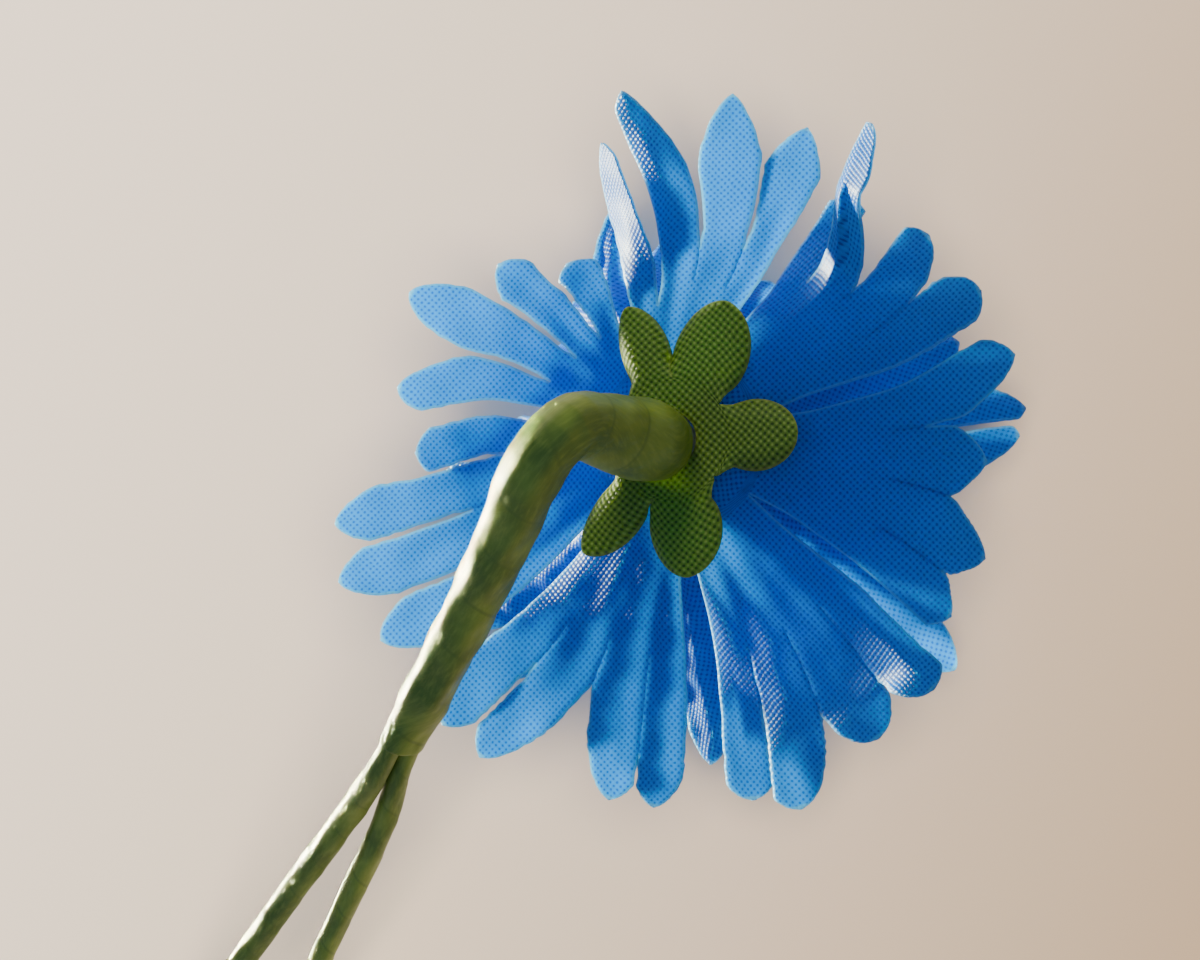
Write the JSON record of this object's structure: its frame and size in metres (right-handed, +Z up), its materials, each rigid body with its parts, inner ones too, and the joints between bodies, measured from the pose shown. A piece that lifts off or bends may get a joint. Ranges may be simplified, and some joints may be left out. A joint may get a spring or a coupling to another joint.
{
  "type": "artificial cornflower boutonniere",
  "caption": "Cloth cornflower lying face down: layered die-cut blue petals, a green cloth calyx and a bent stem of taped wires that parts into two legs.",
  "frame": {"origin": "bottom centre of the whole flower as it lies face down, on the surface that it lies on", "axes": "+Z up, out of the back of the bloom; +X along the length, from the stem's legs towards the bloom"},
  "size_m": [0.1002, 0.0506, 0.0334],
  "materials": {
    "blue_satin": "woven polyester satin, heat-cut edges",
    "green_satin": "woven polyester satin",
    "stamen_thread": "stiffened thread with dipped heads",
    "peg_nylon": "moulded",
    "floral_tape": "waxed crepe paper wound in a spiral",
    "floral_wire": "drawn, cut ends"
  },
  "bodies": {
    "root": {"calyx": "green_satin", "petals_outer": "blue_satin", "petals_middle": "blue_satin", "petals_inner": "blue_satin", "stamens": "stamen_thread", "hub": "peg_nylon", "stem_tape": "floral_tape", "leg_tape_a": "floral_tape", "leg_tape_b": "floral_tape", "wire_a": "floral_wire", "wire_b": "floral_wire"}
  },
  "joints": []
}
